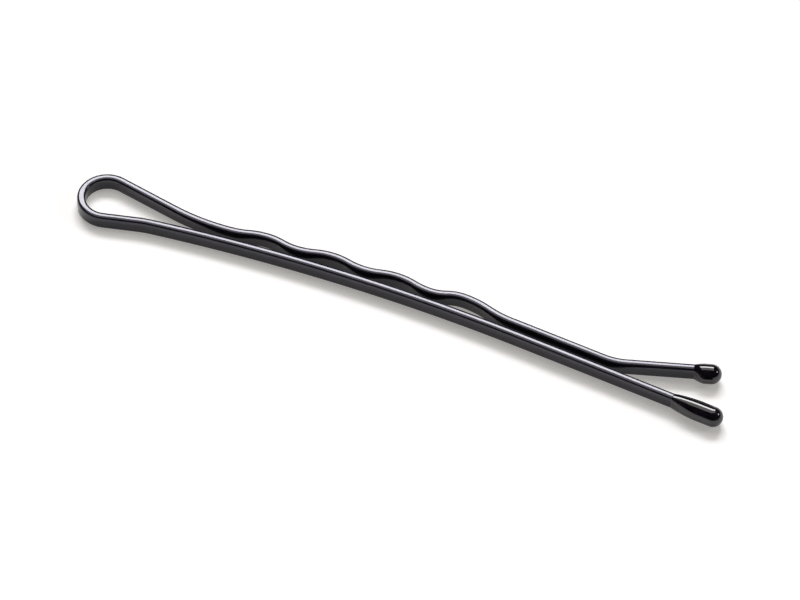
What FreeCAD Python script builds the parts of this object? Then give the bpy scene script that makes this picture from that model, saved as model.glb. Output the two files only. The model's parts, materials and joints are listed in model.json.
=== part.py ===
import FreeCAD, Part
import math
import os

# Bobby pin lying on its side: X runs from the bow to the tips, Y from the straight leg
# to the wavy leg, Z up. Lengths are in millimetres and angles in degrees.

# Flat spring wire
wire_width = 1.08            # along Z
wire_thickness = 0.62        # in the bending plane
wire_edge_radius = 0.19      # rolled long edges
edge_share = 0.45            # most of the thickness that an edge radius may take

# Straight leg, a long gentle arch over the waves with a straight nose
arch_radius = 148.0
arch_before_waves = 5.6      # along the arch, from the first trough back to the shoulder bend
arch_after_waves = 1.4       # along the arch, from the foot of the last wave to the nose
shoulder_radius = 8.0        # bend that drops the leg away to open the eye
shoulder_turn = 7.3
shoulder_run = 2.5           # straight wire between that bend and the bow
nose_length = 15.6           # straight end of the leg, to the tip of its bead

# Bow, the round spring end
bow_radius = 1.82            # of the wire's centreline
flex_gap = 0.03              # between the two halves at the apex, where the bow flexes

# Wavy leg
leg_gap = 0.34               # between the legs where they lie closest
first_trough = 11.3          # along the arch, from its top back to the first trough
first_trough_radius = 16.5
first_trough_rise = 0.09     # this trough stays a little clear of the others' line
wave_count = 4
wave_pitch = 5.0
first_wave_height = 0.38
wave_height = 0.33
last_wave_height = 0.53      # the crest nearest the tip stands higher
last_wave_fall = 3.9         # along the arch, from that crest down to the plain run
flare_start = 5.8            # plain run past the end of the arch
flare_radius = 4.5
flare_turn = 21.9            # lead-in that lets hair slip between the legs
flare_length = 6.7           # straight end of the leg, to the tip of its bead

# Resin beads dipped on the two ends
straight_bead_diameter = 1.50
straight_bead_length = 3.9
wavy_bead_diameter = 1.46
wavy_bead_length = 2.0
bead_skin = 0.04             # resin over the wire at the mouth of a bead
bead_cover = 0.50            # resin past the end of the wire

# Worked out from the sizes above
leg_spacing = wire_thickness + leg_gap
edge_radius = min(wire_edge_radius, edge_share * wire_thickness)
wave_heights = [wave_height] * wave_count
wave_heights[0] = first_wave_height
wave_heights[-1] = last_wave_height
arch_to_shoulder = first_trough + arch_before_waves
waves_end = (wave_count - 0.5) * wave_pitch + last_wave_fall - first_trough
arch_to_nose = waves_end + arch_after_waves


def vec(x, y, z=0.0):
    return FreeCAD.Vector(x, y, z)


def ahead(heading):
    return vec(math.cos(heading), math.sin(heading))


def left(heading):
    return vec(-math.sin(heading), math.cos(heading))


def arc_by_tangent(start, heading, end):
    # The one arc that leaves start along heading and reaches end, by way of its middle point.
    chord = end - start
    side = chord.dot(left(heading))
    if abs(side) < 1e-9:
        return Part.LineSegment(start, end).toShape()
    radius = chord.Length ** 2 / (2 * side)
    centre = start + left(heading) * radius
    half_turn = math.asin(chord.Length / (2 * radius))
    middle = centre - left(heading + half_turn) * radius
    return Part.Arc(start, middle, end).toShape()


def arc_by_turn(start, heading, radius, turn):
    # An arc of given radius and turn, to the left if the turn is positive. Returns its end too.
    signed = math.copysign(radius, turn)
    centre = start + left(heading) * signed
    end = centre - left(heading + turn) * signed
    middle = centre - left(heading + turn / 2) * signed
    return Part.Arc(start, middle, end).toShape(), end, heading + turn


def s_curve(start, start_heading, end, end_heading):
    # Two tangent arcs between two points with given headings, with equal tangent lengths.
    t0 = ahead(start_heading)
    t1 = ahead(end_heading)
    span = end - start
    a = 2 * (1 - t0.dot(t1))
    b = 2 * span.dot(t0 + t1)
    c = span.dot(span)
    reach = 2 * c / (b + math.sqrt(b * b + 4 * a * c))
    joint = (start + end) * 0.5 + (t0 - t1) * (reach / 2)
    back = arc_by_tangent(end, end_heading + math.pi, joint)
    return [arc_by_tangent(start, start_heading, joint), back]


def on_arch(distance, rise):
    # A point above the arch of the straight leg, and the heading there.
    angle = distance / arch_radius
    reach = arch_radius + rise
    return vec(reach * math.sin(angle), reach * math.cos(angle) - arch_radius), -angle


def wire_section(point, heading):
    # The wire's rounded flat section, square to the centreline at a point.
    flat_y = wire_thickness / 2 - edge_radius
    flat_z = wire_width / 2 - edge_radius
    corners = []
    for quarter, (side_y, side_z) in enumerate(((1, 1), (-1, 1), (-1, -1), (1, -1))):
        corner = []
        for step in (0, 0.5, 1):
            angle = (quarter + step) * math.pi / 2
            y = side_y * flat_y + edge_radius * math.cos(angle)
            z = side_z * flat_z + edge_radius * math.sin(angle)
            corner.append(point + left(heading) * y + vec(0, 0, z))
        corners.append(corner)
    edges = []
    for corner, following in zip(corners, corners[1:] + corners[:1]):
        edges.append(Part.Arc(*corner).toShape())
        edges.append(Part.LineSegment(corner[2], following[0]).toShape())
    return Part.Wire(edges)


def sweep_wire(edges, start, heading):
    # One length of wire along a flat centreline of tangent lines and arcs.
    path = Part.Wire(edges)
    sweep = Part.BRepOffsetAPI.MakePipeShell(path)
    sweep.setBiNormalMode(vec(0, 0, 1))
    sweep.add(wire_section(start, heading), False, False)
    sweep.build()
    sweep.makeSolid()
    return sweep.shape()


def bead(tip, heading, diameter, length):
    # A drop of resin: a ball with a cone drawn back over the wire, its sides slanted down to the flat wire.
    ball = diameter / 2
    mouth_z = wire_width / 2 + bead_skin
    mouth_y = wire_thickness / 2 + bead_skin
    neck = length - ball
    slope = math.asin(ball / math.hypot(neck, mouth_z)) - math.atan2(mouth_z, neck)
    touch = vec(-ball - ball * math.sin(slope), ball * math.cos(slope))
    crown = vec(-ball, 0) + ahead(math.pi / 4) * ball
    outline = [
        Part.LineSegment(vec(0, 0), vec(-length, 0)).toShape(),
        Part.LineSegment(vec(-length, 0), vec(-length, mouth_z)).toShape(),
        Part.LineSegment(vec(-length, mouth_z), touch).toShape(),
        Part.Arc(touch, crown, vec(0, 0)).toShape(),
    ]
    drop = Part.Face(Part.Wire(outline)).revolve(vec(0, 0), vec(1, 0), 360)
    flank = (ball - mouth_y) / neck
    end_y = ball + flank * diameter
    waist = [vec(-length, mouth_y), vec(ball, end_y), vec(ball, -end_y), vec(-length, -mouth_y)]
    slab = Part.Face(Part.makePolygon(waist + waist[:1])).extrude(vec(0, 0, 2 * diameter))
    slab.translate(vec(0, 0, -diameter))
    resin = drop.common(slab)
    resin.rotate(vec(0, 0), vec(0, 0, 1), math.degrees(heading))
    resin.translate(tip)
    return resin


# Straight leg: round the lower half of the bow, over the shoulder bend and along the arch to the nose
shoulder_end, arch_heading = on_arch(-arch_to_shoulder, 0)
shoulder_bend, run_start, back_heading = arc_by_turn(
    shoulder_end, arch_heading + math.pi, shoulder_radius, math.radians(shoulder_turn))
run_heading = back_heading - math.pi
run_end = run_start - ahead(run_heading) * shoulder_run
bow_centre = run_end + left(run_heading) * bow_radius
part_angle = flex_gap / 2 / bow_radius

nose_start, nose_heading = on_arch(arch_to_nose, 0)
straight_tip_point = nose_start + ahead(nose_heading) * nose_length
straight_wire_end = straight_tip_point - ahead(nose_heading) * bead_cover

lower_start_heading = part_angle - math.pi / 2
lower_start = bow_centre - left(lower_start_heading) * bow_radius
arch_top = vec(0, 0)
straight_edges = [
    arc_by_tangent(lower_start, lower_start_heading, run_end),
    Part.LineSegment(run_end, run_start).toShape(),
    shoulder_bend,
    Part.Arc(shoulder_end, arch_top, nose_start).toShape(),
    Part.LineSegment(nose_start, straight_wire_end).toShape(),
]

# Wavy leg: round the upper half of the bow, down into the first trough, over the waves and out to the flare
trough, trough_heading = on_arch(-first_trough, leg_spacing + first_trough_rise)
trough_centre = trough + left(trough_heading) * first_trough_radius
between = trough_centre - bow_centre
lean = math.asin((first_trough_radius + bow_radius) / between.Length)
fall_heading = math.atan2(between.y, between.x) - lean
fall_start = bow_centre + left(fall_heading) * bow_radius
fall_end = trough_centre - left(fall_heading) * first_trough_radius
upper_start_heading = math.pi / 2 - part_angle
upper_start = bow_centre + left(upper_start_heading) * bow_radius
wavy_edges = [
    arc_by_tangent(upper_start, upper_start_heading, fall_start),
    Part.LineSegment(fall_start, fall_end).toShape(),
    arc_by_tangent(fall_end, fall_heading, trough),
]
place = -first_trough
low, low_heading = trough, trough_heading
for wave, height in enumerate(wave_heights):
    last = wave == wave_count - 1
    crest_place = place + wave_pitch / 2
    crest, crest_heading = on_arch(crest_place, leg_spacing + height)
    wavy_edges += s_curve(low, low_heading, crest, crest_heading)
    place = crest_place + (last_wave_fall if last else wave_pitch / 2)
    low, low_heading = on_arch(place, leg_spacing)
    wavy_edges += s_curve(crest, crest_heading, low, low_heading)
run_out, _ = on_arch(arch_to_nose, leg_spacing)
wavy_edges.append(arc_by_tangent(low, low_heading, run_out))
flare_point = run_out + ahead(nose_heading) * flare_start
wavy_edges.append(Part.LineSegment(run_out, flare_point).toShape())
flare_bend, flare_end, flare_heading = arc_by_turn(
    flare_point, nose_heading, flare_radius, math.radians(flare_turn))
wavy_edges.append(flare_bend)
wavy_tip_point = flare_end + ahead(flare_heading) * flare_length
wavy_wire_end = wavy_tip_point - ahead(flare_heading) * bead_cover
wavy_edges.append(Part.LineSegment(flare_end, wavy_wire_end).toShape())

straight_leg = sweep_wire(straight_edges, lower_start, lower_start_heading)
wavy_leg = sweep_wire(wavy_edges, upper_start, upper_start_heading)
straight_tip = bead(straight_tip_point, nose_heading, straight_bead_diameter, straight_bead_length)
wavy_tip = bead(wavy_tip_point, flare_heading, wavy_bead_diameter, wavy_bead_length)
nodes = {
    "straight_leg": straight_leg,
    "wavy_leg": wavy_leg,
    "straight_tip": straight_tip.cut(straight_leg),
    "wavy_tip": wavy_tip.cut(wavy_leg),
}

# The pin's origin is the middle of its box, on the surface that it lies on.
box = Part.makeCompound(list(nodes.values())).optimalBoundingBox(False, False)
shift = vec(-box.Center.x, -box.Center.y, -box.ZMin)
os.makedirs("parts", exist_ok=True)
for name, shape in nodes.items():
    shape.translate(shift)
    shape.exportStep("parts/" + name + ".step")
    print(name, shape.ShapeType, len(shape.Solids), shape.isValid(), round(shape.Volume, 4))
hinge = bow_centre + vec(-bow_radius - wire_thickness / 2, 0) + shift
eye = bow_centre + shift
print("box", round(box.XLength, 3), round(box.YLength, 3), round(box.ZLength, 3))
for label, point in (("hinge", hinge), ("eye", eye)):
    print(label, round(point.x, 4), round(point.y, 4), round(point.z, 4))
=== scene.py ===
import json
import math

import bpy
import numpy as np
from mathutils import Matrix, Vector

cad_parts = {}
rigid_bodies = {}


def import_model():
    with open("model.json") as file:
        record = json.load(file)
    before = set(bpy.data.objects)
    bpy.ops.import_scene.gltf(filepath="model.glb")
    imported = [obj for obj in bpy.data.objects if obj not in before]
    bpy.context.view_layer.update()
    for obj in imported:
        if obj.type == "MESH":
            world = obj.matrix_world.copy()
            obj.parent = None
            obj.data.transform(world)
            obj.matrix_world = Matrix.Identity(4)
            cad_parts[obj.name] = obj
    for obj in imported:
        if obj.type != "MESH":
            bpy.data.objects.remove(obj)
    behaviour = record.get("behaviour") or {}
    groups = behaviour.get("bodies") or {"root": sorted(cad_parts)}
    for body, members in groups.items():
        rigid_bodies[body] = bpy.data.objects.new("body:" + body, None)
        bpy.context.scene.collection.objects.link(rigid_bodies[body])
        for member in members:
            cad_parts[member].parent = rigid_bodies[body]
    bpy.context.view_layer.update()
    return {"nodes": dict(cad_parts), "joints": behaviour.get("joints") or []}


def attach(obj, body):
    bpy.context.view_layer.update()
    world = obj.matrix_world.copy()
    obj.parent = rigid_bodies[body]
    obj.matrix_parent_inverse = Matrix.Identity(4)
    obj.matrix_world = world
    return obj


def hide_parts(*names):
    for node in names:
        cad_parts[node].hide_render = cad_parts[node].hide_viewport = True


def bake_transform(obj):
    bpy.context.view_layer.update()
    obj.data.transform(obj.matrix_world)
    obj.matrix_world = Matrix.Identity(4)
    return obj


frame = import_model()
mm = 0.001
print("frame:", ", ".join(sorted(frame["nodes"])))


# Flat spring wire, sizes in mm
wireStrip = {
    "width": 1.08,                # up the standing edge
    "thickness": 0.62,            # in the bending plane
    "edgeRadius": (0.10, 0.19),   # at the bottom and at the top
    "crown": (0.15, 0.36),        # the same way, larger makes the flats rounder
    "fineSteps": 6000,            # round the section, before its points are spread out
    "pointsRound": 56,
    "step": 0.08,                 # between rings along the wire
    "easing": 0.35,               # length over which each bend starts and ends
}

# How the wire is bent, from the bow's apex out to both tips, lengths in mm and turns in degrees
pinBends = {
    "bowRadius": 1.82,
    "shoulderRun": 2.5,
    "shoulderRadius": 8.0,
    "shoulderTurn": 7.3,
    "archRadius": 148.0,
    "archBack": 16.9,         # from the top of the arch back to the shoulder bend
    "archAhead": 11.5,        # and on to the straight nose
    "noseLength": 15.6,
    "legSpacing": 0.96,       # between the legs' middles where they lie closest
    "firstTrough": 11.3,
    "troughRadius": 16.5,
    "troughRise": 0.09,       # of the first trough above the others
    "wavePitch": 5.0,
    "waveHeights": (0.38, 0.33, 0.33, 0.53),
    "lastFall": 3.9,
    "runOut": 1.4,
    "flareStart": 5.8,
    "flareRadius": 4.5,
    "flareTurn": 21.9,
    "flareLength": 6.7,
    "tipCover": 0.50,         # resin past the end of the wire
    "seamPastBow": 0.5,       # where the two lengths of wire meet, on the straight fall
}


def ahead(heading):
    return np.array((math.cos(heading), math.sin(heading)))


def leftOf(heading):
    return np.array((-math.sin(heading), math.cos(heading)))


def followBends(start, heading, bends, step, easing):
    # Each bend is a length and a turn spread evenly over it, and the turns are then averaged over the
    # easing length. A step is the chord of a small arc, so it goes along the heading at its middle,
    # shortened by sin(x)/x.
    counts = [max(int(round(length / step)), 2) for length, turn in bends]
    lengths = np.concatenate([np.full(n, length / n) for n, (length, turn) in zip(counts, bends)])
    turns = np.concatenate([np.full(n, turn / n) for n, (length, turn) in zip(counts, bends)])
    half = int(round(easing / step / 2))
    window = np.hanning(2 * half + 3)[1:-1]
    turns = np.convolve(np.pad(turns, half, mode="edge"), window / window.sum(), mode="valid")
    middles = heading + np.cumsum(turns) - turns / 2
    chords = lengths * np.sinc(turns / 2 / np.pi)
    steps = chords[:, None] * np.stack((np.cos(middles), np.sin(middles)), axis=1)
    points = np.vstack((start, start + np.cumsum(steps, axis=0)))
    headings = np.concatenate(([heading], heading + np.cumsum(turns)))
    distances = np.concatenate(([0.0], np.cumsum(lengths)))
    return points, headings, distances


def halfWave(distance, height, rising):
    # Two arcs with opposite turns that climb or drop by height over a distance, on the arch's own curve.
    b = pinBends
    stretch = 1 + (b["legSpacing"] + height / 2) / b["archRadius"]
    span = distance * stretch / 2
    turn = 2 * math.atan2(height / 2, span)
    length = span / math.sin(turn) * turn
    arch = distance / 2 / b["archRadius"]
    sign = 1 if rising else -1
    return [(length, sign * turn - arch), (length, -sign * turn - arch)]


def layOutPin(apex):
    # The straight half leaves the apex downwards, the wavy half upwards, and both run out to their tips.
    b = pinBends
    step, easing = wireStrip["step"], wireStrip["easing"]
    bowRadius = b["bowRadius"]
    shoulderTurn = math.radians(b["shoulderTurn"])
    backSlope = b["archBack"] / b["archRadius"]
    runHeading = backSlope + shoulderTurn
    lowerTurn = math.pi / 2 + runHeading
    archLength = b["archBack"] + b["archAhead"]
    straightBends = [
        (bowRadius * lowerTurn, lowerTurn),
        (b["shoulderRun"], 0.0),
        (b["shoulderRadius"] * shoulderTurn, -shoulderTurn),
        (archLength, -archLength / b["archRadius"]),
        (b["noseLength"] - b["tipCover"], 0.0),
    ]
    straight = followBends(apex, -math.pi / 2, straightBends, step, easing)

    bowCentre = apex + np.array((bowRadius, 0.0))
    runStart = bowCentre - leftOf(runHeading) * bowRadius + ahead(runHeading) * b["shoulderRun"]
    bendCentre = runStart - leftOf(runHeading) * b["shoulderRadius"]
    shoulderEnd = bendCentre + leftOf(backSlope) * b["shoulderRadius"]
    archCentre = shoulderEnd - leftOf(backSlope) * b["archRadius"]
    troughHeading = b["firstTrough"] / b["archRadius"]
    troughReach = b["archRadius"] + b["legSpacing"] + b["troughRise"] + b["troughRadius"]
    between = archCentre + leftOf(troughHeading) * troughReach - bowCentre
    apart = float(np.hypot(*between))
    radii = b["troughRadius"] + bowRadius
    fallHeading = math.atan2(between[1], between[0]) - math.asin(radii / apart)
    upperTurn = math.pi / 2 - fallHeading
    troughTurn = troughHeading - fallHeading
    wavyBends = [
        (bowRadius * upperTurn, -upperTurn),
        (math.sqrt(apart ** 2 - radii ** 2), 0.0),
        (b["troughRadius"] * troughTurn, troughTurn),
    ]
    halfPitch = b["wavePitch"] / 2
    heights = b["waveHeights"]
    climbs = (heights[0] - b["troughRise"],) + heights[1:]
    falls = [halfPitch] * (len(heights) - 1) + [b["lastFall"]]
    for climb, height, fall in zip(climbs, heights, falls):
        wavyBends += halfWave(halfPitch, climb, True) + halfWave(fall, height, False)
    runOut = b["runOut"] * (1 + b["legSpacing"] / b["archRadius"])
    flareTurn = math.radians(b["flareTurn"])
    wavyBends += [
        (runOut, -b["runOut"] / b["archRadius"]),
        (b["flareStart"], 0.0),
        (b["flareRadius"] * flareTurn, flareTurn),
        (b["flareLength"] - b["tipCover"], 0.0),
    ]
    wavy = followBends(apex, math.pi / 2, wavyBends, step, easing)
    seamAt = bowRadius * upperTurn + b["seamPastBow"]
    return straight, wavy, bowCentre, seamAt


def stripProfile(count):
    # Round the section, y is the flat's half times tanh(cos/crown) plus the edge radius times cos, and z
    # the same with sin. Radius and crown go evenly from their bottom values to their top ones. Points are
    # evened out over the length and the turn together, so that the edges get their share.
    w = wireStrip
    angle = np.linspace(0, 2 * np.pi, w["fineSteps"] + 1)
    upward = (1 + np.sin(angle)) / 2
    edge = np.interp(upward, (0, 1), w["edgeRadius"])
    crown = np.interp(upward, (0, 1), w["crown"])
    flatY = w["thickness"] / 2 - edge
    flatZ = w["width"] / 2 - edge
    limit = np.tanh(1 / crown)
    y = flatY * np.tanh(np.cos(angle) / crown) / limit + edge * np.cos(angle)
    z = flatZ * np.tanh(np.sin(angle) / crown) / limit + edge * np.sin(angle)
    along = np.concatenate(([0.0], np.cumsum(np.hypot(np.diff(y), np.diff(z)))))
    share = along / along[-1] + angle / (2 * np.pi)
    places = np.linspace(0, 2, count, endpoint=False)
    profile = np.stack((np.interp(places, share, y), np.interp(places, share, z)), axis=1)
    tangent = np.roll(profile, -1, axis=0) - np.roll(profile, 1, axis=0)
    tangent /= np.linalg.norm(tangent, axis=1)[:, None]
    rounding = 2 * np.abs(tangent[:, 0] * tangent[:, 1])    # 0 on the flats, 1 half way round an edge
    return profile, rounding


def tubeMesh(name, rings, along, rounding):
    # A grid of rings joined into quads, wrapped by a map of length and way round, with a flat cap on each
    # end. The caps come first and have sharp edges, so that the end rings keep the shading of the quads.
    ringCount, pointCount = rings.shape[:2]
    i, j = np.meshgrid(np.arange(ringCount - 1), np.arange(pointCount), indexing="ij")
    nextJ = (j + 1) % pointCount
    corners = ((i, j), (i, nextJ), (i + 1, nextJ), (i + 1, j))
    quads = np.stack([(a * pointCount + c).ravel() for a, c in corners], axis=1)
    firstCap = np.arange(pointCount)[::-1]
    lastCap = np.arange(pointCount) + (ringCount - 1) * pointCount
    mesh = bpy.data.meshes.new(name)
    faces = [firstCap.tolist(), lastCap.tolist()] + quads.tolist()
    mesh.from_pydata((rings.reshape(-1, 3) * mm).tolist(), [], faces)
    smooth = np.ones(len(faces), dtype=bool)
    smooth[:2] = False
    mesh.polygons.foreach_set("use_smooth", smooth)
    lengthwise = np.stack([along[a].ravel() for a, c in corners], axis=1)
    wayRound = np.stack([way.ravel() / pointCount for way in (j, j + 1, j + 1, j)], axis=1)
    wrap = np.stack((lengthwise, wayRound), axis=-1).reshape(-1, 2)
    wrapAll = np.vstack((np.zeros((2 * pointCount, 2)), wrap))
    mesh.uv_layers.new(name="wrap").data.foreach_set("uv", wrapAll.astype(np.float32).ravel())
    edgeRound = mesh.attributes.new("edgeRound", "FLOAT", "POINT")
    edgeRound.data.foreach_set("value", np.tile(rounding, ringCount).astype(np.float32))
    ends = np.empty(len(mesh.edges) * 2, dtype=np.int32)
    mesh.edges.foreach_get("vertices", ends)
    ringOf = ends.reshape(-1, 2) // pointCount
    onCap = (ringOf[:, 0] == ringOf[:, 1]) & np.isin(ringOf[:, 0], (0, ringCount - 1))
    mesh.edges.foreach_set("use_edge_sharp", onCap)
    mesh.update()
    piece = bpy.data.objects.new(name, mesh)
    bpy.context.scene.collection.objects.link(piece)
    return piece


def carry(points, headings, profile, height):
    # Ring i, point j: path point i, plus profile y across the wire, plus profile z upwards.
    across = np.stack((-np.sin(headings), np.cos(headings)), axis=1)
    rings = np.empty((len(points), len(profile), 3))
    rings[:, :, :2] = points[:, None, :] + across[:, None, :] * profile[None, :, :1]
    rings[:, :, 2] = height + profile[None, :, 1]
    return rings


joint = frame["joints"][0]
hinge = np.array(joint["pos_m"]) / mm
apex = hinge[:2] + np.array((wireStrip["thickness"] / 2, 0.0))
midHeight = float(hinge[2])
straight, wavy, bowCentre, seamAt = layOutPin(apex)
profile, rounding = stripProfile(wireStrip["pointsRound"])
points, headings, distances = [np.concatenate((s[::-1], w[1:])) for s, w in zip(straight, wavy)]
onStraight = len(straight[0])
headings[:onStraight] += np.pi
distances[:onStraight] *= -1
seam = int(np.searchsorted(distances, seamAt))
rings = carry(points, headings, profile, midHeight)

straightLegWire = tubeMesh("straightLegWire", rings[:seam + 1], distances[:seam + 1], rounding)
wavyLegWire = tubeMesh("wavyLegWire", rings[seam:], distances[seam:], rounding)
print("wire:", len(points), "rings, seam at", round(float(distances[seam]), 2), "mm past the apex")


# Resin drops on the two wire ends, sizes in mm
beadDrops = {
    "straightTipBead": {
        "diameter": 1.49,
        "length": 3.9,
        "neck": 2.3,          # over which the flat wire turns into the round drop
        "swell": 0.75,        # larger makes the drop start more gently
        "sag": 0.03,          # of the ball towards the near side
        "mouth": 0.985,       # share of the wire's section that the resin grows out of
        "uneven": 0.012,
    },
    "wavyTipBead": {
        "diameter": 1.45,
        "length": 2.0,
        "neck": 0.85,
        "swell": 1.1,
        "sag": 0.13,
        "mouth": 0.985,
        "uneven": 0.012,
    },
}
beadGrid = {
    "neckRings": 72,
    "domeRings": 40,
    "poleShare": 0.01,        # of the radius, left as a small flat at the pole
    "lobes": (2, 3),          # round the drop, of the two waves that make it uneven
    "twists": (1.7, 1.1),     # of these waves along the drop, in radians per mm
}


def beadPiece(name, wireEnd, heading):
    # Ring at s along the axis: the wire's profile fading into a circle as a power of sin of s over the
    # neck, then a dome where the ring shrinks as cos while s grows as sin. Two slow waves of the ring's
    # size keep it uneven.
    d = beadDrops[name]
    radius = d["diameter"] / 2
    body = d["length"] - radius
    swing = np.linspace(0, math.acos(beadGrid["poleShare"]), beadGrid["domeRings"] + 1)[1:]
    s = np.concatenate((np.linspace(0, body, beadGrid["neckRings"]), body + radius * np.sin(swing)))
    shrink = np.concatenate((np.ones(beadGrid["neckRings"]), np.cos(swing)))
    x = np.clip(s / d["neck"], 0, 1)
    fade = (np.sin(np.pi / 2 * x) ** d["swell"])[:, None, None]
    angle = np.arctan2(profile[:, 1] / wireStrip["width"], profile[:, 0] / wireStrip["thickness"])
    circle = radius * np.stack((np.cos(angle), np.sin(angle)), axis=1)
    sections = profile[None] * d["mouth"] * (1 - fade) + circle[None] * fade
    (fewLobes, moreLobes), (fastTwist, slowTwist) = beadGrid["lobes"], beadGrid["twists"]
    wave = np.cos(fewLobes * angle[None, :] + fastTwist * s[:, None])
    wave = wave + np.sin(moreLobes * angle[None, :] - slowTwist * s[:, None])
    sections *= (shrink[:, None] * (1 - d["uneven"] * (1 + wave / 2) * x[:, None]))[:, :, None]
    sections[:, :, 0] -= d["sag"] * fade[:, :, 0]
    mouth = wireEnd - ahead(heading) * (d["length"] - pinBends["tipCover"])
    rings = np.empty(sections.shape[:2] + (3,))
    rings[:, :, :2] = mouth + s[:, None, None] * ahead(heading) + leftOf(heading) * sections[:, :, :1]
    rings[:, :, 2] = midHeight + sections[:, :, 1]
    return tubeMesh(name, rings, s, rounding * 0)


straightTipBead = beadPiece("straightTipBead", straight[0][-1], straight[1][-1])
wavyTipBead = beadPiece("wavyTipBead", wavy[0][-1], wavy[1][-1])
print("beads: 2")


# Shader helpers
def addNode(tree, kind, **values):
    node = tree.nodes.new(kind)
    for key, value in values.items():
        setattr(node, key, value)
    return node


def feed(tree, source, target):
    tree.links.new(source, target)


def mathNode(tree, operation, first, second, clamp=False):
    node = addNode(tree, "ShaderNodeMath", operation=operation, use_clamp=clamp)
    for socket, value in zip(node.inputs, (first, second)):
        if isinstance(value, (int, float)):
            socket.default_value = value
        else:
            feed(tree, value, socket)
    return node.outputs[0]


def ramp(tree, value, fromRange, toRange=(0.0, 1.0)):
    node = addNode(tree, "ShaderNodeMapRange", interpolation_type="SMOOTHSTEP")
    feed(tree, value, node.inputs["Value"])
    for key, number in zip(("From Min", "From Max", "To Min", "To Max"), fromRange + toRange):
        node.inputs[key].default_value = number
    return node.outputs["Result"]


def mixColor(tree, factor, first, second):
    node = addNode(tree, "ShaderNodeMix", data_type="RGBA")
    feed(tree, factor, node.inputs["Factor"])
    for socket, value in zip((node.inputs[6], node.inputs[7]), (first, second)):
        if isinstance(value, tuple):
            socket.default_value = value + (1.0,)
        else:
            feed(tree, value, socket)
    return node.outputs[2]


def noise(tree, vector, scale, detail=2.0, roughness=0.5):
    node = addNode(tree, "ShaderNodeTexNoise")
    node.inputs["Scale"].default_value = scale
    node.inputs["Detail"].default_value = detail
    node.inputs["Roughness"].default_value = roughness
    feed(tree, vector, node.inputs["Vector"])
    return node.outputs["Fac"]


def makeGroup(name, inputs, output):
    group = bpy.data.node_groups.new(name, "ShaderNodeTree")
    for label, kind in inputs:
        group.interface.new_socket(label, in_out="INPUT", socket_type=kind)
    group.interface.new_socket(output, in_out="OUTPUT", socket_type="NodeSocketFloat")
    return group, addNode(group, "NodeGroupInput"), addNode(group, "NodeGroupOutput")


def useGroup(tree, group, vector, **values):
    node = addNode(tree, "ShaderNodeGroup", node_tree=group)
    feed(tree, vector, node.inputs["Vector"])
    for key, value in values.items():
        node.inputs[key].default_value = value
    return node.outputs[0]


dustShape = {"reach": 4.0, "edge": 12.0}   # larger for bigger specks, and for crisper ones


def dustGroup():
    # Cells scattered through space, a few of which hold a speck of their own size
    inputs = (("Vector", "NodeSocketVector"), ("Scale", "NodeSocketFloat"), ("Amount", "NodeSocketFloat"))
    group, entry, leave = makeGroup("dustSpecks", inputs, "Mask")
    cells = addNode(group, "ShaderNodeTexVoronoi")
    feed(group, entry.outputs["Vector"], cells.inputs["Vector"])
    feed(group, entry.outputs["Scale"], cells.inputs["Scale"])
    split = addNode(group, "ShaderNodeSeparateColor")
    feed(group, cells.outputs["Color"], split.inputs["Color"])
    bare = mathNode(group, "SUBTRACT", 1.0, entry.outputs["Amount"])
    size = mathNode(group, "SUBTRACT", split.outputs["Red"], bare)
    reach = mathNode(group, "MULTIPLY", size, dustShape["reach"])
    inside = mathNode(group, "SUBTRACT", reach, cells.outputs["Distance"])
    mask = mathNode(group, "MULTIPLY", inside, dustShape["edge"], clamp=True)
    feed(group, mask, leave.inputs["Mask"])
    return group


def rippleGroup():
    # Soft unevenness of a flowed coating: a broad noise with a little finer noise on it
    inputs = (("Vector", "NodeSocketVector"), ("Scale", "NodeSocketFloat"))
    group, entry, leave = makeGroup("flowRipple", inputs, "Height")
    broad = addNode(group, "ShaderNodeTexNoise")
    broad.inputs["Detail"].default_value = 1.5
    feed(group, entry.outputs["Vector"], broad.inputs["Vector"])
    feed(group, entry.outputs["Scale"], broad.inputs["Scale"])
    feed(group, broad.outputs["Fac"], leave.inputs["Height"])
    return group


# Scales are per metre. A From pair holds the values of a pattern at which its effect starts and is full.
lacquerFinish = {
    "thin": (0.021, 0.018, 0.029),
    "full": (0.007, 0.006, 0.012),
    "steel": (0.42, 0.41, 0.40),
    "dust": (0.16, 0.155, 0.15),
    "sheen": (0.91, 0.90, 1.0),     # tint of the gloss
    "ior": 1.58,
    "lineStretch": (0.22, 46.0, 1.0),   # draw lines per mm along the wire, and per turn round it
    "lineShare": 0.5,               # of the draw lines in the lacquer's depth, beside the patches
    "patchScale": 700.0,
    "depthFrom": (0.40, 0.62),
    "gritScale": 2600.0,
    "bareFrom": (0.76, 0.80),       # grit at which the lacquer is off
    "edgeFrom": (0.5, 0.9),         # edge roundness at which it can come off
    "dustScale": 1500.0,
    "dustAmount": 0.012,
    "dustRoughness": 0.5,
    "glossFrom": (0.3, 0.7),
    "roughness": (0.06, 0.13),
    "rippleScale": 1800.0,
    "rippleDepth": 0.0000012,       # metres
    "scratchDepth": 0.0000008,
}

resinFinish = {
    "deep": (0.004, 0.003, 0.006),
    "lifted": (0.010, 0.008, 0.013),
    "dust": (0.12, 0.115, 0.11),
    "ior": 1.6,
    "patchScale": 900.0,
    "depthFrom": (0.35, 0.7),
    "dustScale": 1500.0,
    "dustAmount": 0.02,
    "dustRoughness": 0.5,
    "glossFrom": (0.3, 0.7),
    "roughness": (0.03, 0.07),
    "rippleScale": 1100.0,
    "rippleDepth": 0.000002,
}

dustSpecks = dustGroup()
flowRipple = rippleGroup()


def startMaterial(name):
    material = bpy.data.materials.new(name)
    material.use_nodes = True
    tree = material.node_tree
    return material, tree, tree.nodes["Principled BSDF"]


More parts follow.
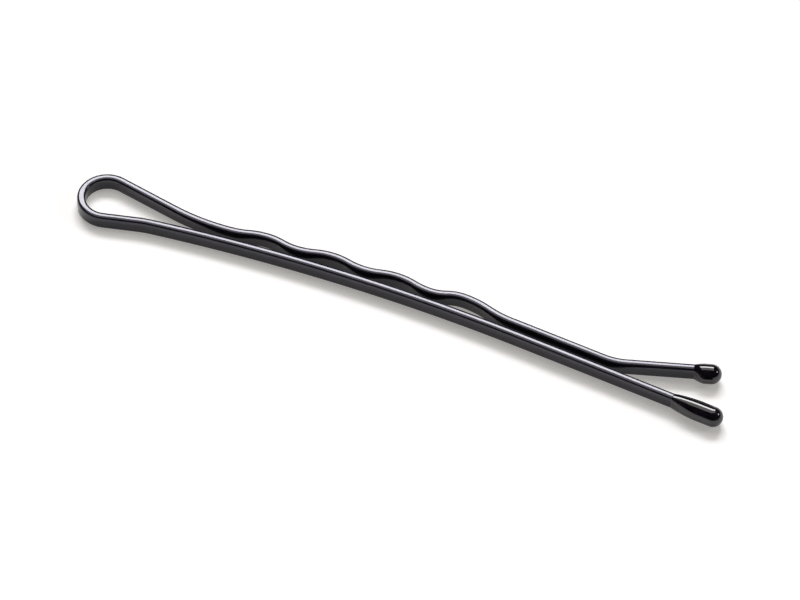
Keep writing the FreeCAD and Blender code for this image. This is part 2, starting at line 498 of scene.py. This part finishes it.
def addBump(tree, height, distance, before=None):
    bump = addNode(tree, "ShaderNodeBump")
    bump.inputs["Strength"].default_value = 1.0
    bump.inputs["Distance"].default_value = distance
    feed(tree, height, bump.inputs["Height"])
    if before is not None:
        feed(tree, before, bump.inputs["Normal"])
    return bump.outputs["Normal"]


def addRoughness(tree, shader, gloss, dust, f):
    rough = ramp(tree, gloss, f["glossFrom"], f["roughness"])
    dusty = mathNode(tree, "MULTIPLY", dust, f["dustRoughness"])
    feed(tree, mathNode(tree, "ADD", rough, dusty, clamp=True), shader.inputs["Roughness"])


def lacquerMaterial():
    # Thin black lacquer: draw lines along the wire, patchy depth, bare specks on the edges, some dust
    f = lacquerFinish
    material, tree, shader = startMaterial("wireLacquer")
    place = addNode(tree, "ShaderNodeTexCoord").outputs["Object"]
    wrapMap = addNode(tree, "ShaderNodeUVMap", uv_map="wrap").outputs["UV"]
    stretch = addNode(tree, "ShaderNodeMapping")
    stretch.inputs["Scale"].default_value = f["lineStretch"]
    feed(tree, wrapMap, stretch.inputs["Vector"])
    drawLines = noise(tree, stretch.outputs["Vector"], 1.0, detail=3.0)
    patches = noise(tree, place, f["patchScale"], detail=3.0)
    edges = addNode(tree, "ShaderNodeAttribute", attribute_name="edgeRound").outputs["Fac"]
    grit = noise(tree, place, f["gritScale"], detail=4.0, roughness=0.6)
    bareSpots = ramp(tree, grit, f["bareFrom"])
    chips = mathNode(tree, "MULTIPLY", bareSpots, ramp(tree, edges, f["edgeFrom"]))
    dust = useGroup(tree, dustSpecks, place, Scale=f["dustScale"], Amount=f["dustAmount"])
    streaks = mathNode(tree, "MULTIPLY", drawLines, f["lineShare"])
    clouds = mathNode(tree, "MULTIPLY", patches, 1 - f["lineShare"])
    depth = mathNode(tree, "ADD", clouds, streaks)
    body = mixColor(tree, ramp(tree, depth, f["depthFrom"]), f["full"], f["thin"])
    worn = mixColor(tree, chips, body, f["steel"])
    feed(tree, mixColor(tree, dust, worn, f["dust"]), shader.inputs["Base Color"])
    addRoughness(tree, shader, drawLines, dust, f)
    feed(tree, chips, shader.inputs["Metallic"])
    shader.inputs["IOR"].default_value = f["ior"]
    shader.inputs["Specular Tint"].default_value = f["sheen"] + (1.0,)
    ripple = useGroup(tree, flowRipple, place, Scale=f["rippleScale"])
    swell = addBump(tree, ripple, f["rippleDepth"])
    feed(tree, addBump(tree, drawLines, f["scratchDepth"], swell), shader.inputs["Normal"])
    return material


def resinMaterial():
    # Wet-looking dipped resin: almost black, a slow swell in its skin, some dust
    f = resinFinish
    material, tree, shader = startMaterial("beadResin")
    place = addNode(tree, "ShaderNodeTexCoord").outputs["Object"]
    patches = noise(tree, place, f["patchScale"])
    dust = useGroup(tree, dustSpecks, place, Scale=f["dustScale"], Amount=f["dustAmount"])
    body = mixColor(tree, ramp(tree, patches, f["depthFrom"]), f["deep"], f["lifted"])
    feed(tree, mixColor(tree, dust, body, f["dust"]), shader.inputs["Base Color"])
    addRoughness(tree, shader, patches, dust, f)
    shader.inputs["IOR"].default_value = f["ior"]
    ripple = useGroup(tree, flowRipple, place, Scale=f["rippleScale"])
    feed(tree, addBump(tree, ripple, f["rippleDepth"]), shader.inputs["Normal"])
    return material


wireLacquer = lacquerMaterial()
beadResin = resinMaterial()
for piece in (straightLegWire, wavyLegWire):
    piece.data.materials.append(wireLacquer)
for piece in (straightTipBead, wavyTipBead):
    piece.data.materials.append(beadResin)
print("materials: wireLacquer, beadResin")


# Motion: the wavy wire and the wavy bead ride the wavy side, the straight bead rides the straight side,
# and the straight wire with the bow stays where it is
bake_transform(straightLegWire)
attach(wavyLegWire, "wavy_side")
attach(straightTipBead, "straight_side")
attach(wavyTipBead, "wavy_side")
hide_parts("straight_leg")
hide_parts("wavy_leg")
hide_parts("straight_tip")
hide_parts("wavy_tip")
print("motion: the bow blends from", joint["parent"], "to", joint["child"])


# Stage: a pale floor that carries the bow's lower edge and the straight bead, soft lamps, a dim room
studio = {
    "floorRadius": 1.2,          # metres
    "floorSides": 128,
    "floorColor": (0.90, 0.90, 0.90),
    "paperLift": 0.33,           # glow that the camera and reflections see, so that lit paper is white
    "paperGlow": (1.0, 0.965, 0.925),
    "lampDistance": 2.5,
    "room": 0.02,
    "paperRise": (0.06, 0.12),   # sines of the angles at which the room turns from white paper to dim
}
softboxes = {                    # degrees as seen from the pin, turn to the right of straight behind it
    "rearSoftbox": {
        "elevation": 47.5,
        "turn": 0,
        "width": 38,
        "height": 15,
        "radiance": 14,
        "tint": (1.0, 0.99, 1.0),
    },
    "topSoftbox": {
        "elevation": 70,
        "turn": 0,
        "width": 44,
        "height": 30,
        "radiance": 1.6,
        "tint": (1.0, 0.98, 0.95),
    },
    "sideSoftbox": {
        "elevation": 30,
        "turn": 85,
        "width": 16,
        "height": 12,
        "radiance": 6,
        "tint": (1.0, 0.98, 0.96),
    },
}
photoView = {
    "azimuth": 22.94,
    "elevation": 50.0,
    "distance": 0.744,
    "lens": 475.0,               # close enough for the pin to fill the picture
    "sensor": 36.0,
    "clipStart": 0.01,
    "aim": (-0.06, -0.55, 0.75),   # mm, the point in the middle of the picture
}
viewAzimuth = math.radians(photoView["azimuth"])
towardViewer = Vector((math.sin(viewAzimuth), -math.cos(viewAzimuth), 0.0))


def layFloor():
    # A disc whose height falls evenly from the bow to the straight bead
    bowFoot = (apex[0], midHeight - wireStrip["width"] / 2)
    beadFoot = (straight[0][-1][0], midHeight - beadDrops["straightTipBead"]["diameter"] / 2)
    slope = (beadFoot[1] - bowFoot[1]) / (beadFoot[0] - bowFoot[0])
    angle = np.linspace(0, 2 * np.pi, studio["floorSides"], endpoint=False)
    x = studio["floorRadius"] * np.cos(angle)
    y = studio["floorRadius"] * np.sin(angle)
    z = beadFoot[1] * mm + slope * (x - beadFoot[0] * mm)
    mesh = bpy.data.meshes.new("studioFloor")
    mesh.from_pydata(np.stack((x, y, z), axis=1).tolist(), [], [list(range(len(angle)))])
    floor = bpy.data.objects.new("studioFloor", mesh)
    bpy.context.scene.collection.objects.link(floor)
    material, tree, shader = startMaterial("floorPaper")
    shader.inputs["Base Color"].default_value = studio["floorColor"] + (1.0,)
    shader.inputs["Roughness"].default_value = 1.0
    shader.inputs["Specular IOR Level"].default_value = 0.0
    rays = addNode(tree, "ShaderNodeLightPath").outputs
    seen = mathNode(tree, "MAXIMUM", rays["Is Camera Ray"], rays["Is Glossy Ray"])
    seen = mathNode(tree, "MAXIMUM", seen, rays["Is Transmission Ray"])
    shader.inputs["Emission Color"].default_value = studio["paperGlow"] + (1.0,)
    feed(tree, mathNode(tree, "MULTIPLY", seen, studio["paperLift"]), shader.inputs["Emission Strength"])
    mesh.materials.append(material)


def hangSoftbox(name):
    # The panel faces the pin, with power for the radiance: radiance times pi times its area
    box = softboxes[name]
    distance = studio["lampDistance"]
    rise = math.radians(box["elevation"])
    turn = viewAzimuth - math.radians(box["turn"])
    behind = Vector((-math.sin(turn), math.cos(turn), 0.0))
    direction = behind * math.cos(rise) + Vector((0, 0, math.sin(rise)))
    data = bpy.data.lights.new(name, "AREA")
    data.shape = "RECTANGLE"
    data.size = 2 * distance * math.tan(math.radians(box["width"] / 2))
    data.size_y = 2 * distance * math.tan(math.radians(box["height"] / 2))
    data.energy = box["radiance"] * math.pi * data.size * data.size_y
    data.color = box["tint"]
    lamp = bpy.data.objects.new(name, data)
    bpy.context.scene.collection.objects.link(lamp)
    lamp.location = direction * distance
    lamp.rotation_mode = "QUATERNION"
    lamp.rotation_quaternion = direction.to_track_quat("Z", "Y")


def fillSurroundings():
    world = bpy.data.worlds.new("studioRoom")
    world.use_nodes = True
    tree = world.node_tree
    place = addNode(tree, "ShaderNodeTexCoord").outputs["Generated"]
    split = addNode(tree, "ShaderNodeSeparateXYZ")
    feed(tree, place, split.inputs["Vector"])
    level = ramp(tree, split.outputs["Z"], studio["paperRise"], (1.0, studio["room"]))
    feed(tree, level, tree.nodes["Background"].inputs["Color"])
    bpy.context.scene.world = world


def placeCamera():
    rise = math.radians(photoView["elevation"])
    back = towardViewer * math.cos(rise) + Vector((0, 0, math.sin(rise)))
    data = bpy.data.cameras.new("photoCamera")
    data.lens = photoView["lens"]
    data.sensor_width = photoView["sensor"]
    data.clip_start = photoView["clipStart"]
    camera = bpy.data.objects.new("photoCamera", data)
    bpy.context.scene.collection.objects.link(camera)
    camera.location = Vector(photoView["aim"]) * mm + back * photoView["distance"]
    camera.rotation_mode = "QUATERNION"
    camera.rotation_quaternion = back.to_track_quat("Z", "Y")
    bpy.context.scene.camera = camera


layFloor()
for name in softboxes:
    hangSoftbox(name)
fillSurroundings()
placeCamera()
bpy.context.scene.view_settings.view_transform = "Standard"
print("stage: floor,", ", ".join(softboxes), "and camera")
